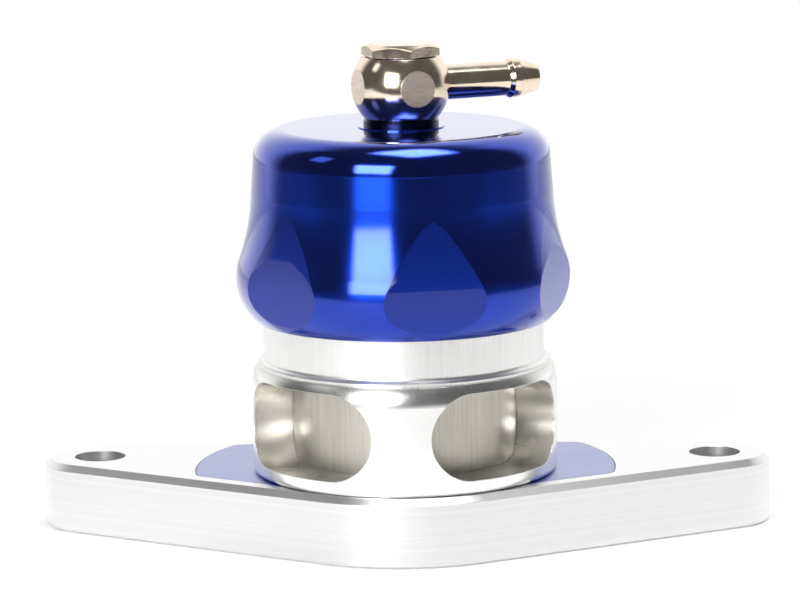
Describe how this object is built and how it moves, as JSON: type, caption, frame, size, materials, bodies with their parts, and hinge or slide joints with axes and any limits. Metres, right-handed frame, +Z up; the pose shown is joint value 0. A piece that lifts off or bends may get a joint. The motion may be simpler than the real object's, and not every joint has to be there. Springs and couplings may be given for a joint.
{
  "type": "blow-off valve",
  "caption": "Piston blow-off valve with windowed vent body, sprung piston, screw-down preload cap and swivelling vacuum hose fitting on a flange.",
  "frame": {"origin": "centre of the inlet in the flange's bottom face", "axes": "+Z up along the valve's axis through the cap, +X along the line of the two bolt holes, -Y the front, away from the bolt holes"},
  "size_m": [0.128, 0.0576, 0.0862],
  "materials": {
    "bright_aluminium": "fine turned and milled",
    "blue_anodised": "bright blue anodised",
    "grey_anodised": "satin hard anodised",
    "nickel_plate": "plated, slightly warm",
    "black_rubber": "smooth nitrile",
    "spring_steel": "drawn wire",
    "black_oxide_steel": "black oxide",
    "white_slip_plastic": "smooth",
    "dark_washer": "dark anodised"
  },
  "bodies": {
    "body": {"flange": "bright_aluminium", "flange_oring": "black_rubber", "base_plate": "blue_anodised", "base_plate_oring": "black_rubber", "base_screws": "black_oxide_steel", "valve_body": "bright_aluminium", "body_oring": "black_rubber", "cap_oring": "black_rubber"},
    "piston": {"piston": "grey_anodised", "piston_face_oring": "black_rubber", "piston_ring": "white_slip_plastic", "piston_ring_energiser": "black_rubber"},
    "spring_seat": {"spring_seat": "grey_anodised", "spring": "spring_steel"},
    "cap": {"cap": "blue_anodised", "thrust_washer": "white_slip_plastic", "lower_washer": "dark_washer", "banjo_bolt": "nickel_plate"},
    "banjo": {"banjo_body": "nickel_plate", "hose_tail": "nickel_plate", "upper_washer": "dark_washer"}
  },
  "joints": [
    {"name": "piston_lift", "type": "slide", "parent": "body", "child": "piston", "axis": [0, 0, 1], "range_m": [0, 0.011], "stiffness_N_per_m": 2500, "springref_m": -0.014, "deforming": ["spring"]},
    {"name": "preload_slide", "type": "slide", "parent": "body", "child": "spring_seat", "axis": [0, 0, 1], "range_m": [-0.003, 0]},
    {"name": "cap_turn", "type": "hinge", "parent": "spring_seat", "child": "cap", "pos_m": [0, 0, 0.06], "axis": [0, 0, 1], "range_deg": [-720, 0]},
    {"name": "banjo_swivel", "type": "hinge", "parent": "cap", "child": "banjo", "pos_m": [0, 0, 0.079], "axis": [0, 0, 1], "continuous": true}
  ],
  "couplings": [
    {"joint": "cap_turn", "follows": "preload_slide", "rad_per_m": 4188.8}
  ]
}
